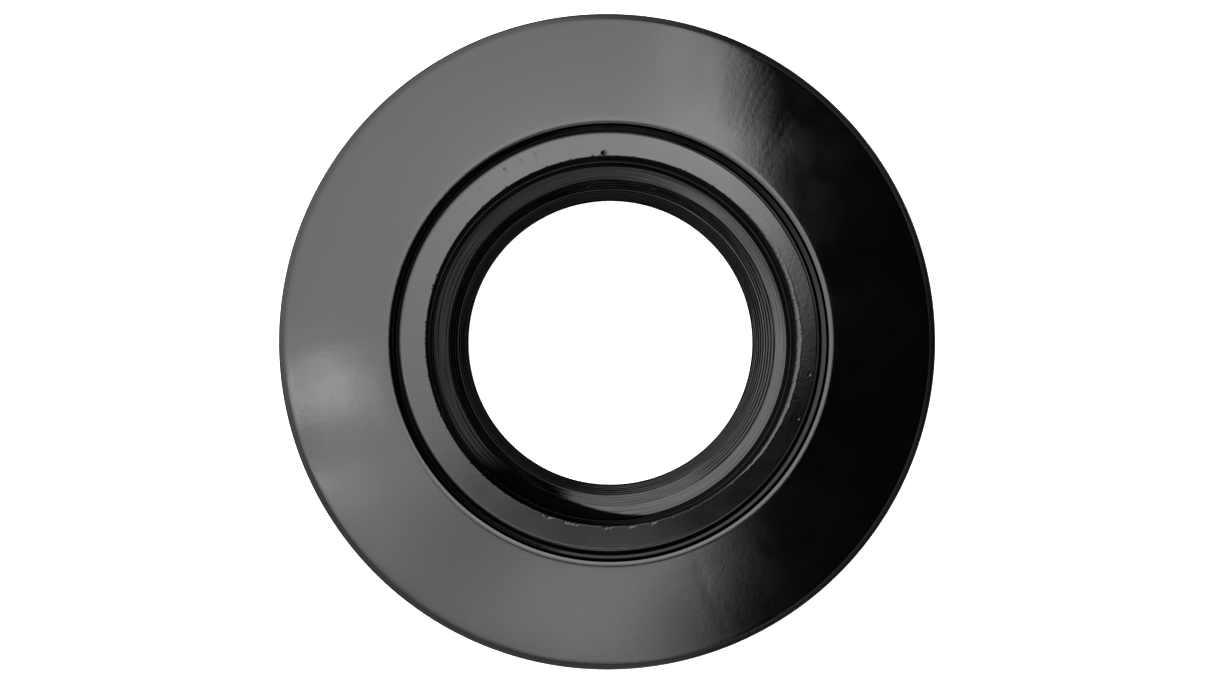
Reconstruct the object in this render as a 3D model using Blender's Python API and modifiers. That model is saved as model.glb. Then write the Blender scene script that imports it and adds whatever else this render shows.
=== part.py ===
"""Toilet flange: a wide brim that turns round a push-in hub with a ribbed pipe gasket in its bore.

Metres, +Z up. The axis of the flange is Z, and the hub's lower end stands at Z = 0.
"""

import math

import bpy

# Driving dimensions. Every radius and height below is measured from the flange's own axis and foot.
HEIGHT = 0.0480            # foot of the neck to the collar's face
BRIM_RADIUS = 0.0889       # a 7 in flange
BRIM_TOP = 0.0410          # top of the brim at its outer edge
BRIM_UNDERSIDE = 0.0365
BRIM_CROWN = 0.0020        # the brim rises this much from its edge to its inner lip
CROWN_AT_MIDDLE = 0.62     # share of that rise reached halfway across
RIM_ROUND = 0.0013
LIP_ROUND = 0.0018

WELL_RADIUS = 0.0589       # the round well in the plate that the collar sits in
WELL_FLOOR = 0.0362
BOSS_RADIUS = 0.0625       # centres the plate in the hole in the floor
BOSS_FOOT = 0.0322
BOSS_DRAFT = 0.0004
PLATE_HOLE_RADIUS = 0.0512

NECK_RADIUS = 0.0507       # fits a 4 in drain pipe, 102.3 mm inside
SHOULDER_RADIUS = 0.0584
SHOULDER_TOP = 0.0412
SHOULDER_FOOT = 0.0378
COLLAR_RADIUS = 0.0552
COLLAR_ROUND = 0.0010      # its outer edge
MOUTH_RADIUS = 0.0491      # at the collar's face, with draft down to the step
STEP_RADIUS = 0.0484
STEP_HEIGHT = 0.0374       # the outer edge of the clamp ring's cone
LEDGE_HEIGHT = 0.0347      # the hub's ledge under the clamp ring
SEAT_RADIUS = 0.0473       # the pipe gasket's seat
FOOT_LIP_RADIUS = 0.0437
FOOT_LIP_TOP = 0.0024

GROOVE_RADIUS = 0.0494     # bottom of both grooves in the neck
RING_GROOVE_TOP = BOSS_FOOT
RING_GROOVE_FOOT = 0.0301
SPIGOT_GROOVE_TOP = 0.0160
SPIGOT_GROOVE_FOOT = 0.0080
MOUTH_GROOVE_RADIUS = 0.0518
MOUTH_GROOVE_TOP = 0.0429
MOUTH_GROOVE_FOOT = 0.0400

PIPE_RADIUS_AT_TOP = 0.04490   # rib crests at the top of the bore
PIPE_RADIUS_AT_FOOT = 0.04340  # and at its foot, where they grip an 88.9 mm pipe
RIB_HEIGHT = 0.0009
RIB_COUNT = 10
CREST_AT = 0.6             # share of each rib's pitch below its crest

RETAINER_RADIUS = 0.0545
LUG_RADIUS = 0.0577        # the two ears at the retaining ring's ends
LUG_ANGLE = 5.0            # degrees
SPLIT_HALF_ANGLE = 7.0     # degrees, half the retaining ring's gap
EYE_DISTANCE = 0.0555      # from the axis to the plier hole in each ear
EYE_RADIUS = 0.0009

SEAL_THICKNESS = 0.0019    # the swivel seal's upright lip
SEAL_DROP = 0.0017         # from the collar's face to the top of that lip
SEAL_FOOT_HEIGHT = 0.0008
MOUTH_SEAL_BEAD = 0.0002   # how far the mouth seal stands out of the wall
FIN_HEIGHT = 0.0014        # the spigot seal's fins, from the neck
FIN_COUNT = 3

SMALL_CHAMFER = 0.0006
FOOT_CHAMFER = 0.0012
FOOT_CHAMFER_HEIGHT = 0.0025
EDGE_ROUND = 0.0005
CLEARANCE = 0.0003         # between pieces that touch
CREASE_ANGLE = 30.0        # degrees, edges sharper than this are shaded hard
SEGMENTS = 56
BRIM_SEGMENTS = 80


def clear_scene():
    for obj in list(bpy.data.objects):
        bpy.data.objects.remove(obj, do_unlink=True)


def make_collection(name):
    collection = bpy.data.collections.new(name)
    bpy.context.scene.collection.children.link(collection)
    return collection


def make_material(name, colour, roughness, metallic=0.0):
    material = bpy.data.materials.new(name)
    material.use_nodes = True
    shader = material.node_tree.nodes["Principled BSDF"]
    shader.inputs["Base Color"].default_value = (*colour, 1.0)
    shader.inputs["Roughness"].default_value = roughness
    shader.inputs["Metallic"].default_value = metallic
    return material


def arc(centre_a, centre_b, radius, start, end, steps):
    """Points of an arc from one angle to another, in degrees from the first axis towards the second."""
    points = []
    for i in range(steps + 1):
        angle = math.radians(start + (end - start) * i / steps)
        points.append((centre_a + radius * math.cos(angle), centre_b + radius * math.sin(angle)))
    return points


def turned(name, profile, material, collection, segments=SEGMENTS):
    """A ring turned from a closed outline, which runs clockwise: down its outer side, up its inner."""
    mesh = bpy.data.meshes.new(name)
    vertices = [(r, 0.0, z) for r, z in profile]
    edges = [(i, (i + 1) % len(profile)) for i in range(len(profile))]
    mesh.from_pydata(vertices, edges, [])
    mesh.materials.append(material)
    ring = bpy.data.objects.new(name, mesh)
    collection.objects.link(ring)
    screw = ring.modifiers.new("Turn", "SCREW")
    screw.axis = "Z"
    screw.angle = 2.0 * math.pi
    screw.steps = segments
    screw.render_steps = segments
    screw.use_merge_vertices = True
    screw.merge_threshold = 0.00001
    screw.use_smooth_shade = True
    creases = ring.modifiers.new("Sharp edges", "EDGE_SPLIT")
    creases.split_angle = math.radians(CREASE_ANGLE)
    return ring


def make_flange_plate(material, collection):
    """The brim: a crowned plate with a rolled rim, a rounded inner lip, and a well for the collar."""
    crest = BRIM_TOP + BRIM_CROWN
    crown_middle = (0.5 * (WELL_RADIUS + BRIM_RADIUS), BRIM_TOP + CROWN_AT_MIDDLE * BRIM_CROWN)
    lip = arc(WELL_RADIUS + LIP_ROUND, crest - LIP_ROUND, LIP_ROUND, 180, 90, 4)
    rim = arc(BRIM_RADIUS - RIM_ROUND, BRIM_TOP - RIM_ROUND, RIM_ROUND, 80, 0, 3)
    underside_edge = [
        (BRIM_RADIUS, BRIM_UNDERSIDE + SMALL_CHAMFER),
        (BRIM_RADIUS - SMALL_CHAMFER, BRIM_UNDERSIDE),
    ]
    boss = [
        (BOSS_RADIUS + SMALL_CHAMFER, BRIM_UNDERSIDE),
        (BOSS_RADIUS, BRIM_UNDERSIDE - SMALL_CHAMFER),
        (BOSS_RADIUS - BOSS_DRAFT, BOSS_FOOT),
    ]
    hole = [(PLATE_HOLE_RADIUS, BOSS_FOOT), (PLATE_HOLE_RADIUS, WELL_FLOOR)]
    well = [(WELL_RADIUS, WELL_FLOOR)]
    profile = lip + [crown_middle] + rim + underside_edge + boss + hole + well
    return turned("flange_plate", profile, material, collection, BRIM_SEGMENTS)


def make_collar_hub(material, collection):
    """The fixed middle: the collar and its mouth, the shoulder under the plate's seal, and the neck."""
    face = arc(COLLAR_RADIUS - COLLAR_ROUND, HEIGHT - COLLAR_ROUND, COLLAR_ROUND, 90, 0, 3)
    shoulder = [
        (COLLAR_RADIUS, SHOULDER_TOP),
        (SHOULDER_RADIUS, SHOULDER_TOP),
        (SHOULDER_RADIUS, SHOULDER_FOOT),
        (NECK_RADIUS, SHOULDER_FOOT),
    ]
    ring_groove = [
        (NECK_RADIUS, RING_GROOVE_TOP),
        (GROOVE_RADIUS, RING_GROOVE_TOP),
        (GROOVE_RADIUS, RING_GROOVE_FOOT),
        (NECK_RADIUS, RING_GROOVE_FOOT),
    ]
    spigot_groove = [
        (NECK_RADIUS, SPIGOT_GROOVE_TOP),
        (GROOVE_RADIUS, SPIGOT_GROOVE_TOP),
        (GROOVE_RADIUS, SPIGOT_GROOVE_FOOT),
        (NECK_RADIUS, SPIGOT_GROOVE_FOOT),
    ]
    foot = [
        (NECK_RADIUS, FOOT_CHAMFER_HEIGHT),
        (NECK_RADIUS - FOOT_CHAMFER, 0.0),
        (FOOT_LIP_RADIUS + EDGE_ROUND, 0.0),
        (FOOT_LIP_RADIUS, EDGE_ROUND),
        (FOOT_LIP_RADIUS, FOOT_LIP_TOP),
    ]
    seat = [
        (SEAT_RADIUS, FOOT_LIP_TOP),
        (SEAT_RADIUS, LEDGE_HEIGHT),
        (STEP_RADIUS, LEDGE_HEIGHT),
        (STEP_RADIUS, STEP_HEIGHT),
    ]
    mouth = [
        (mouth_wall(MOUTH_GROOVE_FOOT), MOUTH_GROOVE_FOOT),
        (MOUTH_GROOVE_RADIUS, MOUTH_GROOVE_FOOT),
        (MOUTH_GROOVE_RADIUS, MOUTH_GROOVE_TOP),
        (mouth_wall(MOUTH_GROOVE_TOP), MOUTH_GROOVE_TOP),
        (MOUTH_RADIUS, HEIGHT - EDGE_ROUND),
        (MOUTH_RADIUS + EDGE_ROUND, HEIGHT),
    ]
    profile = face + shoulder + ring_groove + spigot_groove + foot + seat + mouth
    return turned("collar_hub", profile, material, collection)


def mouth_wall(height):
    """Radius of the collar's drafted mouth at a height."""
    share = (height - STEP_HEIGHT) / (HEIGHT - STEP_HEIGHT)
    return STEP_RADIUS + share * (MOUTH_RADIUS - STEP_RADIUS)


def make_swivel_seal(material, collection):
    """Rubber ring round the collar: its top slopes in, and its foot wipes the well's wall."""
    inner = COLLAR_RADIUS + CLEARANCE
    outer = inner + SEAL_THICKNESS
    foot = SHOULDER_TOP + CLEARANCE
    crest = HEIGHT - SEAL_DROP
    profile = [
        (inner, crest - 0.4 * SEAL_THICKNESS),
        (outer - 0.1 * SEAL_THICKNESS, crest),
        (outer, crest),
        (outer, foot + SEAL_FOOT_HEIGHT + SMALL_CHAMFER),
        (WELL_RADIUS - CLEARANCE, foot + SEAL_FOOT_HEIGHT),
        (WELL_RADIUS - CLEARANCE, foot),
        (inner, foot),
    ]
    return turned("swivel_seal", profile, material, collection)


def make_mouth_seal(material, collection):
    """Rubber ring in the groove in the collar's mouth, standing a little proud of the wall."""
    outer = MOUTH_GROOVE_RADIUS - CLEARANCE
    foot = MOUTH_GROOVE_FOOT + CLEARANCE
    top = MOUTH_GROOVE_TOP - CLEARANCE
    half = 0.5 * (top - foot)
    bead_centre = mouth_wall(foot + half) - MOUTH_SEAL_BEAD + half
    bead = arc(bead_centre, foot + half, half, 270, 90, 6)
    profile = [(outer, top), (outer, foot)] + bead
    return turned("mouth_seal", profile, material, collection)


def make_gasket_clamp_ring(material, collection):
    """Hard ring on the hub's ledge, whose cone leads the pipe into the gasket."""
    foot = LEDGE_HEIGHT + CLEARANCE
    outer = STEP_RADIUS - CLEARANCE
    profile = [
        (outer, STEP_HEIGHT),
        (outer, foot),
        (PIPE_RADIUS_AT_TOP, foot),
        (PIPE_RADIUS_AT_TOP, foot + CLEARANCE),
        (outer - CLEARANCE, STEP_HEIGHT),
    ]
    return turned("gasket_clamp_ring", profile, material, collection)


def crest_radius(height, foot, top):
    """Radius of the bore's rib crests, which close in towards the foot."""
    share = (height - foot) / (top - foot)
    return PIPE_RADIUS_AT_FOOT + share * (PIPE_RADIUS_AT_TOP - PIPE_RADIUS_AT_FOOT)


def make_pipe_gasket(material, collection):
    """Rubber sleeve in the hub's seat, ribbed all the way down its bore."""
    outer = SEAT_RADIUS - CLEARANCE
    foot = FOOT_LIP_TOP + CLEARANCE
    top = LEDGE_HEIGHT
    pitch = (top - foot) / RIB_COUNT
    ribs = []
    for i in range(RIB_COUNT):
        valley = foot + i * pitch
        crest = valley + CREST_AT * pitch
        ribs.append((crest_radius(valley, foot, top) + RIB_HEIGHT, valley))
        ribs.append((crest_radius(crest, foot, top), crest))
    ribs.append((PIPE_RADIUS_AT_TOP + RIB_HEIGHT, top))
    profile = [(outer, top), (outer, foot)] + ribs
    return turned("pipe_gasket", profile, material, collection)


def make_slip_washer(material, collection):
    """Thin ring between the collar's shoulder and the well's floor."""
    top = SHOULDER_FOOT - CLEARANCE
    foot = WELL_FLOOR + CLEARANCE
    outer = SHOULDER_RADIUS
    inner = NECK_RADIUS + 2.0 * CLEARANCE
    profile = [(outer, top), (outer, foot), (inner, foot), (inner, top)]
    return turned("slip_washer", profile, material, collection)


def make_retaining_ring(material, collection):
    """Split spring ring in the neck's groove, with an eye at each end for circlip pliers."""
    inner = GROOVE_RADIUS + CLEARANCE
    start = SPLIT_HALF_ANGLE
    end = 360.0 - SPLIT_HALF_ANGLE
    flank = 1.5
    outline = arc(0.0, 0.0, inner, start, end, SEGMENTS)
    outline += arc(0.0, 0.0, LUG_RADIUS, end, end - LUG_ANGLE, 1)
    outline += arc(0.0, 0.0, RETAINER_RADIUS, end - LUG_ANGLE - flank, start + LUG_ANGLE + flank, SEGMENTS)
    outline += arc(0.0, 0.0, LUG_RADIUS, start + LUG_ANGLE, start, 1)

    curve = bpy.data.curves.new("retaining_ring", "CURVE")
    curve.dimensions = "2D"
    curve.fill_mode = "BOTH"
    curve.extrude = 0.5 * (RING_GROOVE_TOP - RING_GROOVE_FOOT) - CLEARANCE
    add_loop(curve, outline)
    for degrees in (start + 0.5 * LUG_ANGLE, end - 0.5 * LUG_ANGLE):
        eye_x = EYE_DISTANCE * math.cos(math.radians(degrees))
        eye_y = EYE_DISTANCE * math.sin(math.radians(degrees))
        add_loop(curve, arc(eye_x, eye_y, EYE_RADIUS, 0.0, 330.0, 11))
    curve.materials.append(material)
    ring = bpy.data.objects.new("retaining_ring", curve)
    ring.location.z = 0.5 * (RING_GROOVE_TOP + RING_GROOVE_FOOT)
    collection.objects.link(ring)
    return ring


def add_loop(curve, points):
    spline = curve.splines.new("POLY")
    spline.points.add(len(points) - 1)
    for point, (x, y) in zip(spline.points, points):
        point.co = (x, y, 0.0, 1.0)
    spline.use_cyclic_u = True


def make_spigot_seal(material, collection):
    """Rubber ring low on the neck, with three fins that seal in the drain pipe."""
    inner = GROOVE_RADIUS + CLEARANCE
    body = NECK_RADIUS
    fin = NECK_RADIUS + FIN_HEIGHT
    foot = SPIGOT_GROOVE_FOOT + CLEARANCE
    top = SPIGOT_GROOVE_TOP - CLEARANCE
    pitch = (top - foot) / FIN_COUNT
    profile = []
    for i in range(FIN_COUNT):
        fin_top = top - i * pitch
        profile.append((body, fin_top))
        profile.append((fin, fin_top - 0.3 * pitch))
        profile.append((fin, fin_top - 0.5 * pitch))
        profile.append((body, fin_top - 0.8 * pitch))
    profile += [(body, foot), (inner, foot), (inner, top)]
    return turned("spigot_seal", profile, material, collection)


def main():
    clear_scene()
    parts = make_collection("toilet_flange")
    black_abs = make_material("black_abs", (0.012, 0.012, 0.012), 0.28)
    black_collar = make_material("black_collar", (0.011, 0.011, 0.011), 0.34)
    clamp_plastic = make_material("clamp_plastic", (0.013, 0.013, 0.013), 0.25)
    seal_rubber = make_material("seal_rubber", (0.018, 0.018, 0.018), 0.55)
    gasket_rubber = make_material("gasket_rubber", (0.014, 0.014, 0.014), 0.45)
    washer_plastic = make_material("washer_plastic", (0.72, 0.70, 0.64), 0.45)
    ring_steel = make_material("ring_steel", (0.56, 0.56, 0.55), 0.32, 1.0)

    make_collar_hub(black_collar, parts)
    make_swivel_seal(seal_rubber, parts)
    make_mouth_seal(seal_rubber, parts)
    make_gasket_clamp_ring(clamp_plastic, parts)
    make_pipe_gasket(gasket_rubber, parts)
    make_spigot_seal(seal_rubber, parts)
    make_retaining_ring(ring_steel, parts)

    # The plate and its washer turn about Z, so both have their origins on the axis.
    make_flange_plate(black_abs, parts)
    make_slip_washer(washer_plastic, parts)


main()
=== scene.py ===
"""The looks of the toilet flange: turned plastic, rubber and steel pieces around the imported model.

Metres, +Z up, the flange's axis on Z. Angles called clockwise are in degrees from +X, as seen from above.
"""

import collections
import math

import bpy
import numpy as np
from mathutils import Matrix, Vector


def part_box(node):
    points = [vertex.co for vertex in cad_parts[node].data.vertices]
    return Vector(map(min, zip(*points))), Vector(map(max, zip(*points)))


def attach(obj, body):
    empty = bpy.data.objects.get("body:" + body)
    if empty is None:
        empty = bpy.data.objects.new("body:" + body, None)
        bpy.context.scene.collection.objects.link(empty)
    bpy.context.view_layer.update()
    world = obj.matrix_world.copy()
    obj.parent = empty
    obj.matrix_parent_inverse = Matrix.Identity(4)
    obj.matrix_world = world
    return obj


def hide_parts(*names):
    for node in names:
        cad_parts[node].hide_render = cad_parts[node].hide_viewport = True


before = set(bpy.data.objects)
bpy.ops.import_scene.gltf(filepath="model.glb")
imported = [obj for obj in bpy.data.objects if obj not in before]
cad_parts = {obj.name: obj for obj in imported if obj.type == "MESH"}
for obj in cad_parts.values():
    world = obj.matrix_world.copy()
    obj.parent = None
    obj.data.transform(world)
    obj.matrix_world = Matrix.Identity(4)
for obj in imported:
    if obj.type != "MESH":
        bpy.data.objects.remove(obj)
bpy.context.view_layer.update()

GAP = 0.0003               # between touching pieces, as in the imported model
SHARP_ANGLE = math.radians(32.0)    # edges that turn by more are shaded sharp

# The flange plate.
LIP_CURVE = 0.0055         # radius of the brim's inner lip, which leans in by up to LIP_LEAN degrees
LIP_LEAN = 13.0
LIP_ROUND = 0.0002         # and of the corner where it meets the well
RIM_BEVEL = 0.0019         # width of the slope at the brim's outer edge
RIM_LEAN = 24.0            # how steep it is, in degrees
RIM_ROUND = 0.0004         # the rounding above it
RIM_OUTER = 0.0009         # and below it
BRIM_CROWN = 0.0020        # the brim falls this much from its lip to its rim
CROWN_SLOPE = 0.76         # 1 for a straight fall, 0 for one that starts level
BRIM_THICKNESS = 0.0045
PLATE_ROUND = 0.0006       # the underside's corners
HOLE_ROUND = 0.0004
WELL_FLOOR_RISE = 0.0040   # from the boss's foot to the floor of the well
BOSS_WALL = 0.0036         # from the well's wall to the boss's outer side
BOSS_DRAFT = 0.0004        # the boss is narrower by this at its foot

WAVE_HEIGHT = 0.00003      # slight waves round the brim
# Radial creases in the brim: clockwise angle and half width in degrees, depth, and where they start
# and end as shares of the brim's width.
CREASES = [
    (52.0, 1.6, 0.000008, 0.30, 0.80),
    (68.5, 1.1, 0.000007, 0.05, 0.95),
    (72.4, 0.35, 0.000003, 0.15, 0.70),
    (153.5, 1.4, -0.000004, 0.70, 1.00),
    (161.0, 1.7, 0.000005, 0.45, 1.00),
    (289.0, 2.2, 0.000012, 0.10, 0.90),
]
CREASE_FADE = 0.12         # share of the brim's width over which a crease starts and ends
FINGERS = 0.000007         # height of fine radial ridges in part of the brim
FINGERS_AT = (303.0, 9.0)  # their clockwise angle and half width
EJECTOR_MARKS = 8
EJECTOR_RADIUS = 0.0757    # from the axis
EJECTOR_DEPTH = 0.00012
EJECTOR_SIZE = (0.0026, 0.0032)     # radius of a mark's floor and of its edge

# The hub.
COLLAR_ROUND = 0.0009      # the collar's outer edge
COLLAR_SHIFT = (-0.00010, 0.00030)  # and how far it stands off the axis
MOUTH_DRAFT = 0.0006       # the mouth opens by this much from the step to the face
MOUTH_SHIFT = (0.00028, 0.00042)    # the mouth's edge stands this much off the axis
MOUTH_CHAMFER = 0.0005
CHAMFER_ROWS = (0.2, 0.35, 0.5, 0.65, 0.8, 0.9)
CHAMFER_REACH = 0.0030     # the wall gives way to the trimmed edge down to this far below the face
FOOT_ROUND = 0.0005
FOOT_CHAMFER = (0.0012, 0.0025)     # width and height at the neck's outer foot
# Pits in the collar's face: clockwise angle, distance from the axis, radius and depth.
FACE_PITS = [
    (223.0, 0.0524, 0.00028, 0.00008),
    (229.0, 0.0524, 0.00026, 0.00007),
    (238.5, 0.0531, 0.00034, 0.00015),
    (243.5, 0.0532, 0.00028, 0.00011),
    (248.0, 0.0531, 0.00030, 0.00012),
    (212.0, 0.0502, 0.00028, 0.00008),
    (268.0, 0.0496, 0.00060, 0.00040),
    (22.0, 0.0534, 0.00024, 0.00007),
    (9.0, 0.0531, 0.00022, 0.00007),
]

# The swivel seal.
CREST_WIDTH = 0.0019       # from its inner side to its crest
CREST_FALL = 0.42          # slope of its top towards the collar
CREST_SHIFT = 0.0003       # its crest is this much further in on the -Y side

# The clamp ring and the pipe gasket.
CONE_SLOPE = 0.62          # of the clamp ring's cone, on average
CONE_HOLLOW = 0.82         # 1 for a straight cone, less for a hollow one
CONE_ROWS = 36
PAINTED_SHADE_CENTRE = (0.0077, 0.0012)      # painted shade: the cone's gloss is turned off outside a circle round this centre
PAINTED_SHADE_RADIUS = 0.0482
GASKET_SHIFT = 0.00045     # the top of the pipe gasket's bore stands this much off the axis, towards +X
BORE_CURVE = 2.2           # 1 for a straight bore through the rib crests
RIB_COUNT = 10
RIB_DEPTH = 0.0009
SHALLOW_RIBS = 6           # the lowest ribs, which are not as deep
SHALLOW_DEPTH = 0.67       # their depth as a share of the others'
RIB_LAND = 0.0022          # height of a rib's flat crest
CREST_AT = 0.86            # share of each rib's pitch below its crest's upper edge
FLANK_RISE = 0.00033       # height over which a rib's upper side runs back to its root
# Painted glints in the bore, pale spots standing in for highlights: clockwise angle, distance from the axis,
# height, and radius.
PAINTED_GLINTS = [
    (261.5, 0.0443, 0.0276, 0.00032),
    (285.5, 0.0447, 0.0307, 0.00036),
    (118.0, 0.0439, 0.0244, 0.00030),
]

# The hidden rings.
FIN_COUNT = 3
FIN_ROUND = 0.00025
WASHER_ROUND = 0.0002
EAR_WIDTH = 0.0032         # from the retaining ring's band to the end of its ears
EAR_ANGLE = 5.0            # degrees, each ear
SPLIT_HALF_ANGLE = 7.0     # degrees
RING_STEPS = 240
RING_ROUND = 0.00016
EYE_RADIUS = 0.0009

# Materials.
BLACK = 0.0003
RUBBER_BLACK = 0.0002
PEEL = 0.000009            # the plastic's orange peel

# Camera and light.
CAMERA_HEIGHT = 0.280      # above the rim's top
FOCAL_LENGTH = 30.76       # for a sensor SENSOR_WIDTH wide, both in millimetres
SENSOR_WIDTH = 36.0
CAMERA_TILT = (-0.68, -2.27)        # degrees about X and Y
CAMERA_SHIFT = (-0.0373, 0.0114)    # shares of the sensor's width, which centre the flange as in the photo
FLOOR_HALF = 3.0
FLOOR_GLOW = 0.95
# The room's light depends on direction alone. Directions are given by the x, y and z of a unit vector.
SKY = 3.9                  # radiance of the big soft light on the left
LIGHT_EDGE = 0.158         # x of its right edge
ROOM_FROM = (0.27, 0.36)   # z over which the lower room takes over from what is level with the object,
LIGHT_FROM = (0.68, 0.76)  # the light from the lower room,
OVERHEAD_FROM = (0.83, 0.90)        # and its patched middle from its even border
# Patches in the light: centre as x and y, how much each is stretched along x and y, where it starts and
# ends fading, and its brightness against the rest.
PATCHES = [
    (0.17, -0.13, 1.0, 1.0, 0.08, 0.17, 0.03),        # the dark head of whoever holds the camera
    (-0.02, -0.17, 1.6, 1.0, 0.05, 0.15, 0.24),       # and an arm
    (-0.02, 0.18, 1.3, 1.0, 0.03, 0.25, 1.40),        # the brightest part of the light
    (-0.412, -0.070, 1.0, 0.75, 0.01, 0.08, 3.1),     # a lamp far out on the left
    (-0.415, -0.196, 1.3, 0.8, 0.01, 0.06, 2.4),      # the lamp's shade
    (-0.435, -0.145, 1.6, 0.6, 0.01, 0.06, 0.20),     # a dark stand between them
    (-0.22, -0.30, 1.0, 1.0, 0.02, 0.15, 0.68),       # a piece of wall
    (0.12, -0.42, 1.0, 1.0, 0.03, 0.12, 0.60),        # a cabinet
]
SOFT_BOXES = (158.0, 36.0, 285.0)   # degrees from +X towards +Y
SOFT_BOX_GLOW = 0.5

Ring = collections.namedtuple("Ring", "inner outer foot top")


def measure(node):
    """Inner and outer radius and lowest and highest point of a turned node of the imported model."""
    low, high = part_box(node)
    radii = [math.hypot(v.co.x, v.co.y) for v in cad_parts[node].data.vertices]
    return Ring(min(radii), max(radii), low.z, high.z)


plate = measure("flange_plate")
hub = measure("collar_hub")
swivel_seal = measure("swivel_seal")
mouth_seal = measure("mouth_seal")
clamp_ring = measure("gasket_clamp_ring")
gasket = measure("pipe_gasket")
washer = measure("slip_washer")
retainer = measure("retaining_ring")
spigot_seal = measure("spigot_seal")

neck_radius = washer.inner - 2.0 * GAP
groove_radius = retainer.inner - GAP
collar_radius = swivel_seal.inner - 0.5 * GAP
collar_face_end = collar_radius - COLLAR_ROUND
step_radius = clamp_ring.outer + 0.00005
mouth_radius = step_radius + MOUTH_DRAFT
band_radius = retainer.outer - EAR_WIDTH
well_radius = swivel_seal.outer + 0.0001
boss_radius = well_radius + BOSS_WALL
rim_top = plate.top - BRIM_CROWN
brim_underside = rim_top - BRIM_THICKNESS
rib_pitch = (gasket.top - gasket.foot) / RIB_COUNT


# Outlines and turned meshes.

def arc(centre_r, centre_z, radius, start, end, steps):
    """Points of an arc, in degrees from outwards towards up."""
    points = []
    for i in range(steps + 1):
        angle = math.radians(start + (end - start) * i / steps)
        points.append((centre_r + radius * math.cos(angle), centre_z + radius * math.sin(angle)))
    return points


def cuts_between(start, end, longest):
    """How many pieces no longer than that make up the straight stretch."""
    return max(1, math.ceil(math.hypot(end[0] - start[0], end[1] - start[1]) / longest))


def subdivided(outline, longest):
    """The closed outline with every straight stretch cut into pieces no longer than that."""
    points = []
    for (r0, z0), (r1, z1) in zip(outline, outline[1:] + outline[:1]):
        cuts = cuts_between((r0, z0), (r1, z1), longest)
        for i in range(cuts):
            share = i / cuts
            points.append((r0 + share * (r1 - r0), z0 + share * (z1 - z0)))
    return points


def turned_mesh(name, outline, steps, shape=None):
    """A ring turned from a closed outline that runs down its outer side and up its inner side.
    shape takes and gives back arrays of radius and height, outline points by steps round the ring."""
    angle = np.arange(steps) * 2.0 * math.pi / steps
    radius = np.array([point[0] for point in outline])[:, None] + np.zeros(steps)
    height = np.array([point[1] for point in outline])[:, None] + np.zeros(steps)
    if shape:
        radius, height = shape(radius, height, angle)
    points = np.stack([radius * np.cos(angle), radius * np.sin(angle), height], axis=-1)
    row = np.arange(len(outline))[:, None]
    column = np.arange(steps)[None, :]
    next_row = (row + 1) % len(outline)
    next_column = (column + 1) % steps
    corners = [
        row * steps + column,
        next_row * steps + column,
        next_row * steps + next_column,
        row * steps + next_column,
    ]
    faces = np.stack(corners, axis=-1).reshape(-1, 4)
    mesh = bpy.data.meshes.new(name)
    mesh.from_pydata(points.reshape(-1, 3).tolist(), [], faces.tolist())
    return shaded(mesh)


def shaded(mesh):
    """The mesh, smooth but for its sharp edges."""
    mesh.shade_smooth()
    mesh.set_sharp_from_angle(angle=SHARP_ANGLE)
    return mesh


def ring_noise(seed, angle, first, last, fall=1.0):
    """Smooth noise from -1 to 1 that closes on itself round the ring."""
    rng = np.random.default_rng(seed)
    total = np.zeros_like(angle)
    for waves in range(first, last + 1):
        strength = rng.normal() / waves ** fall
        total += strength * np.cos(waves * angle + rng.uniform(0.0, 2.0 * math.pi))
    return total / np.abs(total).max()


def smooth(low, high, value):
    """A smooth step from 0 at low to 1 at high."""
    share = np.clip((value - low) / (high - low), 0.0, 1.0)
    return share * share * (3.0 - 2.0 * share)


def bell(value, middle, half_width):
    """1 at the middle, falling smoothly to 0."""
    return np.exp(-((value - middle) / half_width) ** 2)


def clockwise(angle):
    """Angle in degrees clockwise from +X, from 0 to 360."""
    return np.degrees(-angle) % 360.0


def off_axis(shift, angle):
    """How far a circle's points move outwards when it is shifted sideways."""
    return shift[0] * np.cos(angle) + shift[1] * np.sin(angle)


def distance_from(radius, angle, at, spin):
    """Distance, seen from above, from the place that far from the axis in the direction spin."""
    across = radius * np.cos(angle) - at * math.cos(spin)
    along = radius * np.sin(angle) - at * math.sin(spin)
    return np.hypot(across, along)


def place(mesh, material, body, node):
    """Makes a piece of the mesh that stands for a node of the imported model."""
    mesh.materials.append(material)
    piece = bpy.data.objects.new(mesh.name, mesh)
    bpy.context.scene.collection.objects.link(piece)
    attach(piece, body)
    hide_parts(node)
    return piece


# Materials.

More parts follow.
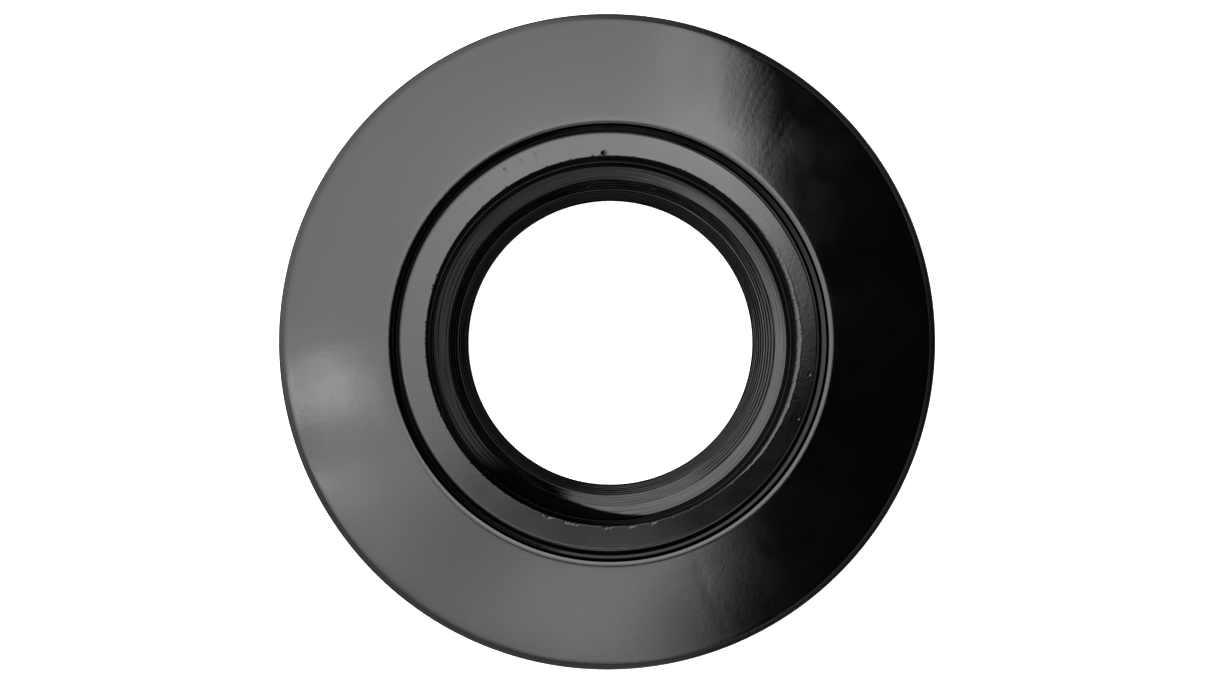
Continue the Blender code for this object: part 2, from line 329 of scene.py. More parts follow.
class Nodes:
    """Short ways to add nodes to a material or to the world."""

    def __init__(self, tree):
        self.tree = tree

    def add(self, kind, **settings):
        node = self.tree.nodes.new(kind)
        for name, value in settings.items():
            setattr(node, name, value)
        return node

    def put(self, socket, value):
        if isinstance(value, bpy.types.NodeSocket):
            self.tree.links.new(value, socket)
        else:
            socket.default_value = value

    def math(self, operation, first, second=0.0):
        node = self.add("ShaderNodeMath", operation=operation)
        self.put(node.inputs[0], first)
        self.put(node.inputs[1], second)
        return node.outputs[0]

    def sum(self, *terms):
        total = terms[0]
        for term in terms[1:]:
            total = self.math("ADD", total, term)
        return total

    def times(self, *factors):
        product = factors[0]
        for factor in factors[1:]:
            product = self.math("MULTIPLY", product, factor)
        return product

    def split(self, vector):
        """X, Y and Z of a place, a direction or a colour."""
        node = self.add("ShaderNodeSeparateXYZ")
        self.put(node.inputs[0], vector)
        return tuple(node.outputs)

    def distance(self, where, middle):
        node = self.add("ShaderNodeVectorMath", operation="DISTANCE")
        self.put(node.inputs[0], where)
        node.inputs[1].default_value = middle
        return node.outputs["Value"]

    def patch(self, x, y, at_x, at_y, wide=1.0, tall=1.0):
        """Distance from a place, with each direction measured in its own unit."""
        across = self.times(self.sum(x, -at_x), 1.0 / wide)
        along = self.times(self.sum(y, -at_y), 1.0 / tall)
        return self.math("SQRT", self.sum(self.times(across, across), self.times(along, along)))

    def ramp(self, value, low, high, at_low=0.0, at_high=1.0):
        """A smooth step from one value to another."""
        node = self.add("ShaderNodeMapRange", interpolation_type="SMOOTHSTEP")
        self.put(node.inputs["Value"], value)
        self.put(node.inputs["From Min"], low)
        self.put(node.inputs["From Max"], high)
        self.put(node.inputs["To Min"], at_low)
        self.put(node.inputs["To Max"], at_high)
        return node.outputs["Result"]

    def blend(self, share, first, second):
        """A number that goes from the first to the second as share goes from 0 to 1."""
        return self.sum(first, self.times(share, self.math("SUBTRACT", second, first)))

    def mix(self, share, first, second):
        """A colour that goes from the first to the second as share goes from 0 to 1."""
        node = self.add("ShaderNodeMix", data_type="RGBA")
        self.put(node.inputs["Factor"], share)
        self.put(node.inputs["A"], first)
        self.put(node.inputs["B"], second)
        return node.outputs["Result"]

    def noise(self, where, scale, detail=2.0, roughness=0.5):
        node = self.add("ShaderNodeTexNoise")
        self.put(node.inputs["Vector"], where)
        node.inputs["Scale"].default_value = scale
        node.inputs["Detail"].default_value = detail
        node.inputs["Roughness"].default_value = roughness
        return node.outputs["Fac"]

    def specks(self, where, scale, size, share):
        """Round spots of a size in metres, in that share of the cells of a random pattern."""
        node = self.add("ShaderNodeTexVoronoi")
        self.put(node.inputs["Vector"], where)
        node.inputs["Scale"].default_value = scale
        spot = self.ramp(node.outputs["Distance"], 0.6 * size * scale, size * scale, 1.0, 0.0)
        chance = self.split(node.outputs["Color"])[0]
        return self.times(spot, self.ramp(chance, 1.0 - share, 1.001 - share))

    def bump(self, height, distance, normal=None):
        node = self.add("ShaderNodeBump")
        self.put(node.inputs["Height"], height)
        node.inputs["Distance"].default_value = distance
        if normal:
            self.put(node.inputs["Normal"], normal)
        return node.outputs["Normal"]


def grey(value):
    return (value, value, value, 1.0)


def new_material(name):
    material = bpy.data.materials.new(name)
    material.use_nodes = True
    nodes = Nodes(material.node_tree)
    shader = material.node_tree.nodes["Principled BSDF"]
    where = nodes.add("ShaderNodeTexCoord").outputs["Object"]
    return material, nodes, shader, where


def painted_cone_shade(nodes, where):
    """1 outside a ragged circle beside the axis, on the -Y side only: where shade is painted on the cone."""
    x, y, _ = nodes.split(where)
    distance = nodes.patch(x, y, *PAINTED_SHADE_CENTRE)
    ragged = nodes.times(nodes.noise(where, 500.0, 3.0, 0.6), 0.0004)
    outside = nodes.ramp(nodes.sum(distance, ragged), PAINTED_SHADE_RADIUS, PAINTED_SHADE_RADIUS + 0.0006)
    return nodes.times(outside, nodes.ramp(y, -0.036, -0.026, 1.0, 0.0))


def moulded_plastic(name, roughness, grain, peel=0.0, dusty=0.0, painted_shade=False):
    """Black moulded plastic: fine grain and uneven gloss, and where asked for orange peel, pale dust
    in its pores and painted shade, where the gloss is turned off."""
    material, nodes, shader, where = new_material(name)
    drift = nodes.noise(where, 60.0, 3.0, 0.6)
    coat = nodes.mix(drift, grey(BLACK), grey(2.0 * BLACK))
    if dusty:
        coat = nodes.mix(nodes.specks(where, 300.0, 0.00016, dusty), coat, grey(0.05))
    nodes.put(shader.inputs["Base Color"], coat)
    nodes.put(shader.inputs["Roughness"], nodes.ramp(drift, 0.3, 0.7, roughness - 0.03, roughness + 0.03))
    if painted_shade:
        # painted shade: the gloss is turned off on part of the cone, standing in for its shade
        nodes.put(shader.inputs["Specular IOR Level"], nodes.blend(painted_cone_shade(nodes, where), 0.5, 0.01))
    normal = nodes.bump(nodes.noise(where, 700.0, 2.0, 0.5), peel) if peel else None
    pores = nodes.noise(where, 2600.0, 3.0, 0.6)
    nodes.put(shader.inputs["Normal"], nodes.bump(pores, grain, normal))
    return material


def moulded_rubber(name, roughness, shine, glints=()):
    """Dull black rubber with a fine matt skin, a paler bloom and a few pale spots of painted glint."""
    material, nodes, shader, where = new_material(name)
    skin = nodes.noise(where, 3200.0, 3.0, 0.7)
    bloom = nodes.noise(where, 180.0, 4.0, 0.6)
    coat = nodes.mix(bloom, grey(RUBBER_BLACK), grey(2.0 * RUBBER_BLACK))
    for degrees, at, height, size in glints:
        spin = math.radians(-degrees)
        middle = (at * math.cos(spin), at * math.sin(spin), height)
        glint = nodes.ramp(nodes.distance(where, middle), 0.5 * size, size, 1.0, 0.0)
        # painted highlight: a pale spot where a glint shows
        coat = nodes.mix(glint, coat, grey(0.5))
    nodes.put(shader.inputs["Base Color"], coat)
    nodes.put(shader.inputs["Roughness"], nodes.ramp(bloom, 0.3, 0.7, roughness - 0.04, roughness + 0.04))
    shader.inputs["Specular IOR Level"].default_value = shine
    nodes.put(shader.inputs["Normal"], nodes.bump(skin, 0.000004))
    return material


def natural_plastic(name):
    """Unpigmented slippery plastic: milky, faintly cloudy, with turning marks round the axis."""
    material, nodes, shader, where = new_material(name)
    x, y, _ = nodes.split(where)
    rings = nodes.math("SINE", nodes.times(nodes.patch(x, y, 0.0, 0.0), 2.0 * math.pi / 0.00035))
    cloud = nodes.noise(where, 90.0, 3.0, 0.5)
    milk = nodes.mix(cloud, (0.72, 0.69, 0.60, 1.0), (0.64, 0.60, 0.50, 1.0))
    nodes.put(shader.inputs["Base Color"], milk)
    nodes.put(shader.inputs["Roughness"], nodes.ramp(cloud, 0.3, 0.7, 0.34, 0.50))
    nodes.put(shader.inputs["Normal"], nodes.bump(rings, 0.000004))
    return material


def spring_steel(name):
    """Rolled spring steel: lengthwise grain, darker oiled patches and a few brown stains."""
    material, nodes, shader, where = new_material(name)
    stretch = nodes.add("ShaderNodeMapping")
    nodes.put(stretch.inputs["Vector"], where)
    stretch.inputs["Scale"].default_value = (1.0, 1.0, 14.0)
    grain = nodes.noise(stretch.outputs[0], 700.0, 3.0, 0.6)
    oil = nodes.noise(where, 130.0, 3.0, 0.6)
    stain = nodes.ramp(nodes.noise(where, 420.0, 4.0, 0.6), 0.62, 0.72)
    bright = nodes.mix(oil, (0.50, 0.50, 0.51, 1.0), (0.30, 0.30, 0.31, 1.0))
    nodes.put(shader.inputs["Base Color"], nodes.mix(stain, bright, (0.16, 0.09, 0.05, 1.0)))
    nodes.put(shader.inputs["Metallic"], nodes.ramp(stain, 0.0, 1.0, 1.0, 0.4))
    nodes.put(shader.inputs["Roughness"], nodes.ramp(grain, 0.3, 0.7, 0.24, 0.42))
    nodes.put(shader.inputs["Normal"], nodes.bump(grain, 0.00001))
    return material


# The flange plate.

def brim_waves(clock, angle, outward):
    """Waves all round the brim and fine ridges in part of it."""
    long_waves = ring_noise(3, angle + 0.2 * outward, 4, 18, 0.8)
    short_waves = ring_noise(4, angle - 0.15 * outward, 18, 60, 0.5)
    fingers = ring_noise(5, angle + 0.01 * np.sin(7.0 * outward), 70, 260, 0.2) * bell(clock, *FINGERS_AT)
    return WAVE_HEIGHT * (long_waves + 0.35 * short_waves) + FINGERS * fingers


def brim_shape(radius, height, angle):
    """Gentle waves and radial creases in the brim's top, and ejector marks in its underside."""
    clock = clockwise(angle)
    across = smooth(well_radius + 0.003, well_radius + 0.008, radius)
    across = across * (1.0 - smooth(plate.outer - 0.004, plate.outer - 0.001, radius))
    outward = (radius - well_radius) / (plate.outer - well_radius)
    rise = brim_waves(clock, angle, outward) * across
    for middle, half_width, depth, start, end in CREASES:
        reach = smooth(start - CREASE_FADE, start + CREASE_FADE, outward)
        reach = reach * (1.0 - smooth(end - CREASE_FADE, end + CREASE_FADE, outward))
        drift = middle + 0.3 * np.sin(6.0 * outward + middle)
        rise = rise - depth * bell(clock, drift, half_width) * reach
    top = height > rim_top - 0.0002
    height = height + np.where(top, rise, 0.0)
    under = (np.abs(height - brim_underside) < 0.00005) & (radius > boss_radius + 0.002)
    for i in range(EJECTOR_MARKS):
        spin = 2.0 * math.pi * (i + 0.5) / EJECTOR_MARKS
        dent = 1.0 - smooth(*EJECTOR_SIZE, distance_from(radius, angle, EJECTOR_RADIUS, spin))
        height = height + np.where(under, EJECTOR_DEPTH * dent, 0.0)
    return radius, height


def lip_outline():
    """The rounded lip, from the well's wall up to where the brim's face starts."""
    lean = math.radians(LIP_LEAN)
    to_corner = LIP_CURVE - LIP_ROUND
    lip_z = plate.top - LIP_CURVE
    corner_r = well_radius + LIP_ROUND
    lip = arc(corner_r, lip_z + to_corner * math.cos(lean), LIP_ROUND, 180, 90 + LIP_LEAN, 5)
    return lip + arc(corner_r + to_corner * math.sin(lean), lip_z, LIP_CURVE, 88 + LIP_LEAN, 87, 12)


def face_outline(start, rim_r):
    """The brim's face, which falls faster towards the rim."""
    rows = 30
    face = []
    for i in range(1, rows):
        share = i / rows
        fall = CROWN_SLOPE * share + (1.0 - CROWN_SLOPE) * share * share
        face.append((start[0] + share * (rim_r - start[0]), start[1] + fall * (rim_top - start[1])))
    return face


def rim_outline(rim_r):
    """The slope at the brim's outer edge, rounded above and below."""
    rim = arc(rim_r, rim_top - RIM_ROUND, RIM_ROUND, 84, 90 - RIM_LEAN, 4)
    steep = math.radians(RIM_LEAN)
    outer_r = plate.outer - RIM_OUTER
    run = outer_r + RIM_OUTER * math.sin(steep) - rim[-1][0]
    outer_z = rim[-1][1] - run * math.tan(steep) - RIM_OUTER * math.cos(steep)
    return rim + arc(outer_r, outer_z, RIM_OUTER, 90 - RIM_LEAN, 0, 10)


def underside_outline():
    """The brim's underside, the boss, the hole and the floor of the well."""
    corner, hole_corner = PLATE_ROUND, HOLE_ROUND
    below = arc(plate.outer - corner, brim_underside + corner, corner, 0, -90, 4)
    below += arc(boss_radius + corner, brim_underside - corner, corner, 90, 180, 4)
    below += arc(boss_radius - BOSS_DRAFT - corner, plate.foot + corner, corner, 0, -90, 4)
    hole_r = plate.inner + hole_corner
    below += arc(hole_r, plate.foot + hole_corner, hole_corner, -90, -180, 3)
    well_floor = plate.foot + WELL_FLOOR_RISE
    below += arc(hole_r, well_floor - hole_corner, hole_corner, 180, 90, 3)
    return below + [(well_radius, well_floor)]


def make_brim():
    """The flange plate: crowned brim, bevelled rim, leaning lip, and the well and boss below."""
    lip = lip_outline()
    rim_r = plate.outer - RIM_BEVEL - 0.5 * RIM_ROUND
    outline = lip + face_outline(lip[-1], rim_r) + rim_outline(rim_r) + underside_outline()
    return turned_mesh("brim_plate", subdivided(outline, 0.0010), 900, brim_shape)


# The hub.

def mouth_wall(height):
    """Radius of the drafted mouth at a height."""
    share = (height - clamp_ring.top) / (hub.top - clamp_ring.top)
    return step_radius + share * MOUTH_DRAFT


def trimmed_width(angle):
    """Width of the mouth's hand-trimmed edge: broad on the right, ragged below, nearly sharp elsewhere."""
    clock = clockwise(angle)
    fine = ring_noise(11, angle, 40, 420, 0.15)
    patches = ring_noise(12, angle, 10, 60, 0.2)
    signed = (clock + 180.0) % 360.0 - 180.0
    right = 1.0 - smooth(25.0, 55.0, np.abs(signed))
    below = smooth(68.0, 80.0, clock) * (1.0 - smooth(112.0, 125.0, clock))
    broad = 0.00100 + 0.00030 * bell(signed, -2.0, 14.0) + 0.00022 * patches + 0.00022 * fine
    ragged = 0.00015 + 0.00085 * smooth(-0.1, 0.3, patches) * (0.7 + 0.6 * fine)
    nicked = 0.00012 + 0.0005 * smooth(0.3, 0.6, fine)
    width = nicked + right * (broad - nicked)
    return np.maximum(width + below * (ragged - width), 0.00008)


def on_face(radius, height):
    """Which of the hub's points lie on the collar's face."""
    return (height > hub.top - 0.000001) & (radius > mouth_radius + MOUTH_CHAMFER)


def trimmed(radius, height, angle):
    """The hub's points with the mouth's chamfer trimmed to its uneven width and depth."""
    width = trimmed_width(angle)
    depth = width * (0.50 + 0.12 * ring_noise(15, angle, 30, 300, 0.2)) + 0.00002
    crumble = 0.00007 * ring_noise(13, angle, 60, 500, 0.0)
    corner = (radius >= mouth_radius - 0.0011) & (radius <= mouth_radius + MOUTH_CHAMFER + 0.00001)
    corner &= height > hub.top - MOUTH_CHAMFER - 0.00001
    inward = (mouth_radius + MOUTH_CHAMFER - radius) / MOUTH_CHAMFER
    downward = (hub.top - height) / MOUTH_CHAMFER
    chamfer_r = mouth_radius + width * (1.0 - inward) + crumble * np.sin(math.pi * downward)
    chamfer_z = hub.top - depth * downward ** 2.2

    stretch = (collar_face_end - mouth_radius - width) / (collar_face_end - mouth_radius - MOUTH_CHAMFER)
    face_r = mouth_radius + width + (radius - mouth_radius - MOUTH_CHAMFER) * stretch
    face_r = np.where(radius > collar_face_end, radius, face_r)

    on_wall = (height > hub.top - CHAMFER_REACH) & (height < hub.top - MOUTH_CHAMFER)
    on_wall &= radius < mouth_radius + 0.0001
    squeeze = (CHAMFER_REACH - depth) / (CHAMFER_REACH - MOUTH_CHAMFER)
    wall_z = hub.top - CHAMFER_REACH + (height - hub.top + CHAMFER_REACH) * squeeze

    new_radius = np.where(corner, chamfer_r, np.where(on_face(radius, height), face_r, radius))
    new_height = np.where(corner, chamfer_z, np.where(on_wall, wall_z, height))
    return new_radius, new_height


def face_dents(radius, angle):
    """Depth of the collar's face below its highest point: pits and a slight sag."""
    dents = []
    for degrees, at, size, deep in FACE_PITS:
        distance = distance_from(radius, angle, at, math.radians(-degrees))
        dents.append(deep * bell(distance, 0.0, size))
    sag = 0.000006 * ring_noise(14, angle, 3, 30, 0.6)
    return sum(dents) + 0.000006 - sag


def hub_shape(radius, height, angle):
    """Trims the mouth's edge, shifts the mouth and the collar's outer side, dents the collar's face,
    turns faint ridges into the mouth's wall and leaves fine mould lines on the neck."""
    new_radius, new_height = trimmed(radius, height, angle)

    in_mouth = (height > clamp_ring.top) & (radius < collar_radius - 0.0012)
    climb = smooth(clamp_ring.top, hub.top - 0.001, height)
    fade = 1.0 - smooth(mouth_radius + 0.0012, collar_face_end - 0.0003, new_radius)
    new_radius = new_radius + np.where(in_mouth, off_axis(MOUTH_SHIFT, angle) * climb * fade, 0.0)
    outer = (radius >= collar_face_end - 0.000001) & (height > swivel_seal.foot)
    new_radius = new_radius + np.where(outer, off_axis(COLLAR_SHIFT, angle), 0.0)

    new_height = new_height - np.where(on_face(radius, height), face_dents(new_radius, angle), 0.0)

    wall = (radius < mouth_radius + 0.0001) & (height > mouth_seal.top) & (height < hub.top - 0.001)
    ridges = np.sin(height * 2.0 * math.pi / 0.0016) * 0.00003
    groove = 0.00012 * bell(height, hub.top - 0.0024, 0.0004)
    new_radius = new_radius + np.where(wall, groove - ridges, 0.0)

    seam = bell(clockwise(angle), 90.0, 0.45) + bell(clockwise(angle), 270.0, 0.45)
    neck = (np.abs(radius - neck_radius) < 0.00005) & (height < plate.foot - 0.001)
    new_radius = new_radius + np.where(neck, 0.00006 * seam - 0.00006, 0.0)
    return new_radius, new_height


def neck_outline():
    """The collar's outer side, the shoulder, and the grooved neck down to its foot."""
    outline = arc(collar_face_end, hub.top - COLLAR_ROUND, COLLAR_ROUND, 90, 0, 10)
    shoulder_top = swivel_seal.foot - GAP
    shoulder_foot = washer.top + GAP
    outline += [(collar_radius, shoulder_top)]
    outline += arc(hub.outer - GAP, shoulder_top - GAP, GAP, 90, 0, 3)
    outline += arc(hub.outer - GAP, shoulder_foot + GAP, GAP, 0, -90, 3)
    outline += [(neck_radius, shoulder_foot)]
    for ring in (retainer, spigot_seal):
        outline += [
            (neck_radius, ring.top + GAP),
            (groove_radius, ring.top + GAP),
            (groove_radius, ring.foot - GAP),
            (neck_radius, ring.foot - GAP),
        ]
    return outline + [(neck_radius, FOOT_CHAMFER[1]), (neck_radius - FOOT_CHAMFER[0], 0.0)]


def bore_outline():
    """The foot lip, the gasket's seat, the step, and the groove in the mouth's wall."""
    lip_top = gasket.foot - GAP
    lip_round = 0.0002
    outline = arc(hub.inner + FOOT_ROUND, FOOT_ROUND, FOOT_ROUND, -90, -180, 5)
    outline += arc(hub.inner + lip_round, lip_top - lip_round, lip_round, 180, 90, 3)
    seat_radius = gasket.outer + GAP
    ledge = clamp_ring.foot - GAP
    outline += [(seat_radius, lip_top), (seat_radius, ledge), (step_radius, ledge)]
    groove_foot = mouth_seal.foot - GAP
    groove_top = mouth_seal.top + GAP
    outline += [(mouth_wall(groove_foot), groove_foot), (mouth_seal.outer + GAP, groove_foot)]
    return outline + [(mouth_seal.outer + GAP, groove_top), (mouth_wall(groove_top), groove_top)]


def make_hub():
    """The fixed middle: collar, mouth, shoulder, grooved neck and foot lip."""
    outline = neck_outline() + bore_outline()
    start = outline[0]
    wall_top = (mouth_radius, hub.top - MOUTH_CHAMFER)
    fine_step = 0.0004
    body = subdivided(outline + [wall_top], fine_step)
    # The last stretch, from the wall's top back to the start, is replaced by the chamfer and the face.
    body = body[:len(body) - cuts_between(wall_top, start, fine_step) + 1]
    chamfer = []
    for share in CHAMFER_ROWS:
        chamfer.append((mouth_radius + share * MOUTH_CHAMFER, hub.top - (1.0 - share) * MOUTH_CHAMFER))
    face_start = mouth_radius + MOUTH_CHAMFER
    steps = cuts_between((face_start, hub.top), start, 0.0003)
    face = [(face_start + (start[0] - face_start) * i / steps, hub.top) for i in range(steps)]
    return turned_mesh("hub_body", body + chamfer + face, 1260, hub_shape)


# The rings inside the mouth and the gap.

def swivel_seal_shape(radius, height, angle):
    """An uneven top, and a crest that leans in on the -Y side."""
    crest_r = swivel_seal.inner + CREST_WIDTH
    foot_top = swivel_seal.foot + 0.0008
    slope = (height > swivel_seal.top - 0.0011) & (radius < crest_r + 0.00001)
    uneven = 0.00001 * ring_noise(21, angle, 20, 300, 0.2)
    towards_crest = smooth(swivel_seal.inner, crest_r, radius) * smooth(foot_top, swivel_seal.top, height)
    aside = CREST_SHIFT * np.minimum(np.sin(angle), 0.0) * towards_crest
    return radius + aside, height + np.where(slope, uneven - 0.00001, 0.0)


def make_swivel_seal():
    """Rubber lip whose top slopes in towards the collar, up to a sharp crest, on a wider foot."""
    inner = swivel_seal.inner
    crest_r = inner + CREST_WIDTH
    crest_round = 0.00004
    foot_top = swivel_seal.foot + 0.0008
    foot_round = 0.0002
    outline = [(inner, swivel_seal.top - CREST_FALL * CREST_WIDTH)]
    outline += [(crest_r - crest_round, swivel_seal.top), (crest_r, swivel_seal.top - crest_round)]
    outline += [(crest_r, foot_top + 0.0006)]
    outline += arc(swivel_seal.outer - foot_round, foot_top - foot_round, foot_round, 60, 0, 2)
    outline += [(swivel_seal.outer, swivel_seal.foot), (inner, swivel_seal.foot)]
    return turned_mesh("swivel_lip_seal", subdivided(outline, 0.0004), 900, swivel_seal_shape)


def make_mouth_seal():
    """Rubber ring with a half-round inner side."""
    half = 0.5 * (mouth_seal.top - mouth_seal.foot)
    outline = [(mouth_seal.outer, mouth_seal.top), (mouth_seal.outer, mouth_seal.foot)]
    outline += arc(mouth_seal.inner + half, mouth_seal.foot + half, half, 270, 90, 16)
    return turned_mesh("mouth_ring_seal", subdivided(outline, 0.0008), 720)


def clamp_shape(radius, height, angle):
    """Fine turning marks all over the hollow cone, and an inner edge that stands off the axis."""
    width = clamp_ring.outer - clamp_ring.inner
    outward = (radius - clamp_ring.inner) / width
    top = (height > clamp_ring.foot + 0.00005) & (outward > -0.01)
    shift = GASKET_SHIFT * np.cos(angle)
    rise = CONE_SLOPE * (CONE_HOLLOW * outward + (1.0 - CONE_HOLLOW) * outward * outward)
    cone = clamp_ring.top - (CONE_SLOPE - rise) * (width - shift)
    marks = 0.000010 * np.sin(radius * 2.0 * math.pi / 0.00052 + 2.0 * ring_noise(31, angle, 1, 9, 0.5))
    marks = marks + 0.000008 * np.sin(radius * 2.0 * math.pi / 0.00119 + 1.0)
    wander = 0.00002 * ring_noise(32, angle + 3.0 * outward, 2, 14, 0.5)
    new_radius = radius + shift * (1.0 - np.clip(outward, 0.0, 1.0))
    return new_radius, np.where(top, cone + marks + wander - 0.00004, height)


def make_clamp_ring():
    """Hard ring whose cone leads the pipe in."""
    outline = [(clamp_ring.outer, clamp_ring.top), (clamp_ring.outer, clamp_ring.foot)]
    outline += [(clamp_ring.inner, clamp_ring.foot)]
    width = clamp_ring.outer - clamp_ring.inner
    edge = 0.0001
    for i in range(CONE_ROWS):
        share = i / CONE_ROWS
        height = clamp_ring.foot + edge + share * (clamp_ring.top - clamp_ring.foot - edge)
        outline.append((clamp_ring.inner + share * width, height))
    return turned_mesh("gasket_clamp", outline, 900, clamp_shape)


def crest_radius(height):
    """The rib crests close in towards the foot of the bore, and fastest near its top."""
    share = (height - gasket.foot) / (gasket.top - gasket.foot)
    return gasket.inner + share ** BORE_CURVE * (clamp_ring.inner - gasket.inner)


def worn_phase(phase, worn):
    """Place in a rib's pitch, with the lower edge of its flat crest worn up towards the upper edge."""
    land_foot = CREST_AT - RIB_LAND / rib_pitch
    lifted = land_foot + worn * 0.85 * RIB_LAND / rib_pitch
    above = lifted + (phase - land_foot) * (CREST_AT - lifted) / (CREST_AT - land_foot)
    lower = phase * lifted / land_foot
    return np.where(phase < land_foot, lower, np.where(phase < CREST_AT, above, phase))


def gasket_shape(radius, height, angle):
    """Ribs that wander a little and are worn high on the -Y side."""
    clock = clockwise(angle)
    level = (height - gasket.foot) / (gasket.top - gasket.foot)
    wander = 0.00005 * ring_noise(41, angle + 2.0 * level, 2, 24, 0.6)
    inner = radius < gasket.outer - 0.0005
    shift = GASKET_SHIFT * np.cos(angle) * np.clip(level, 0.0, 1.0)
    new_radius = radius + np.where(inner, wander + shift, 0.0)
    phase = ((height - gasket.foot) / rib_pitch) % 1.0
    worn = smooth(0.35, 0.55, level) * smooth(48.0, 62.0, clock) * (1.0 - smooth(100.0, 116.0, clock))
    between = inner & (height > gasket.foot + 0.00001) & (height < gasket.top - 0.00001)
    height = height + np.where(between, (worn_phase(phase, worn) - phase) * rib_pitch, 0.0)
    return new_radius, height


def make_pipe_gasket():
    """Rubber sleeve with ribs whose upper sides slope and whose crests are flat."""
    outline = [(gasket.outer, gasket.top), (gasket.outer, gasket.foot)]
    for i in range(RIB_COUNT):
        valley = gasket.foot + i * rib_pitch
        crest = valley + CREST_AT * rib_pitch
        crest_r = crest_radius(crest) + 0.00006
        depth = RIB_DEPTH if i >= SHALLOW_RIBS else SHALLOW_DEPTH * RIB_DEPTH
        root_r = crest_r + depth - 0.0001
        outline.append((root_r, valley + 0.00002))
        outline.append((root_r, crest - RIB_LAND - FLANK_RISE))
        outline.append((crest_r, crest - RIB_LAND))
        outline.append((crest_r, crest))
        outline.append((root_r, crest + FLANK_RISE))
    outline.append((clamp_ring.inner + RIB_DEPTH, gasket.top))
    return turned_mesh("ribbed_gasket", subdivided(outline, 0.0012), 720, gasket_shape)


# The hidden rings.

def make_spigot_seal():
    """Rubber sleeve with round-edged fins, in the neck's lower groove."""
    root_r = neck_radius + 0.0001
    pitch = (spigot_seal.top - spigot_seal.foot) / FIN_COUNT
    outline = []
    for i in range(FIN_COUNT):
        top = spigot_seal.top - i * pitch
        outline.append((root_r, top))
        outline += arc(spigot_seal.outer - FIN_ROUND, top - 0.4 * pitch, FIN_ROUND, 60, -60, 6)
        outline.append((root_r, top - 0.8 * pitch))
    outline += [(root_r, spigot_seal.foot), (spigot_seal.inner, spigot_seal.foot)]
    outline += [(spigot_seal.inner, spigot_seal.top)]
    return turned_mesh("spigot_fin_seal", subdivided(outline, 0.001), 480)


def rounded_section(inner, outer, foot, top, edge, steps):
    """Closed outline of a flat ring with rounded edges."""
    section = arc(outer - edge, top - edge, edge, 90, 0, steps)
    section += arc(outer - edge, foot + edge, edge, 0, -90, steps)
    section += arc(inner + edge, foot + edge, edge, -90, -180, steps)
    return section + arc(inner + edge, top - edge, edge, 180, 90, steps)


def make_slip_washer():
    """Flat slippery ring under the collar's shoulder."""
    outline = rounded_section(*washer, WASHER_ROUND, 3)
    return turned_mesh("slip_ring", subdivided(outline, 0.0012), 360)


def ring_outline():
    """Polar outline of the retaining ring: (angle in degrees, outer radius)."""
    start = SPLIT_HALF_ANGLE
    rows = []
    for i in range(RING_STEPS + 1):
        degrees = start + (360.0 - 2.0 * start) * i / RING_STEPS
        from_end = min(degrees - start, 360.0 - start - degrees)
        ear = 1.0 - smooth(EAR_ANGLE - 0.3, EAR_ANGLE + 1.2, from_end)
        band = band_radius + 0.0003 * math.cos(math.radians(degrees - 180.0))
        corner = 1.0 - 0.35 * (1.0 - smooth(0.0, 0.8, from_end))
        rows.append((degrees, band + ear * corner * (retainer.outer - band)))
    return rows


def make_retaining_ring():
    """Split spring ring with softened edges and an ear with a plier eye at each end."""
    loops = []
    for degrees, outer in ring_outline():
        spin = math.radians(degrees)
        section = rounded_section(retainer.inner, outer, retainer.foot, retainer.top, RING_ROUND, 2)
        loops.append([(r * math.cos(spin), r * math.sin(spin), z) for r, z in section])
    size = len(loops[0])
    points = [point for loop in loops for point in loop]
    faces = []
    for i in range(len(loops) - 1):
        for j in range(size):
            k = (j + 1) % size
            faces.append((i * size + j, i * size + k, (i + 1) * size + k, (i + 1) * size + j))
    faces.append(tuple(range(size)))
    faces.append(tuple(reversed(range(len(points) - size, len(points)))))
    mesh = bpy.data.meshes.new("snap_ring")
    mesh.from_pydata(points, [], faces)
    return drilled(mesh)


def drilled(mesh):
    """The ring's mesh with its two plier eyes cut out and its edges shaded."""
    ring = bpy.data.objects.new("snap_ring", mesh)
    bpy.context.scene.collection.objects.link(ring)
    cutters = []
    eye_at = 0.5 * (band_radius + retainer.outer) - 0.0004
    for side in (-1.0, 1.0):
        spin = math.radians(side * (SPLIT_HALF_ANGLE + 0.5 * EAR_ANGLE))
        bpy.ops.mesh.primitive_cylinder_add(vertices=32, radius=EYE_RADIUS, depth=0.01)
        cutter = bpy.context.object
        cutter.location = (eye_at * math.cos(spin), eye_at * math.sin(spin), retainer.top)
        cutters.append(cutter)
        cut = ring.modifiers.new("eye", "BOOLEAN")
        cut.operation = "DIFFERENCE"
        cut.solver = "EXACT"
        cut.object = cutter
    bpy.context.view_layer.update()
    cut_mesh = bpy.data.meshes.new_from_object(ring.evaluated_get(bpy.context.evaluated_depsgraph_get()))
    cut_mesh.name = "snap_ring_mesh"
    for leftover in cutters + [ring]:
        bpy.data.objects.remove(leftover)
    return shaded(cut_mesh)


# Stage.

def make_camera():
    """The photo's viewpoint: straight above, close, and slightly tilted."""
    data = bpy.data.cameras.new("camera")
    data.lens = FOCAL_LENGTH
    data.sensor_width = SENSOR_WIDTH
    data.shift_x, data.shift_y = CAMERA_SHIFT
    data.clip_start = 0.01
    camera = bpy.data.objects.new("camera", data)
    camera.location = (0.0, 0.0, rim_top + CAMERA_HEIGHT)
    camera.rotation_euler = (math.radians(CAMERA_TILT[0]), math.radians(CAMERA_TILT[1]), 0.0)
    bpy.context.scene.collection.objects.link(camera)
    bpy.context.scene.camera = camera


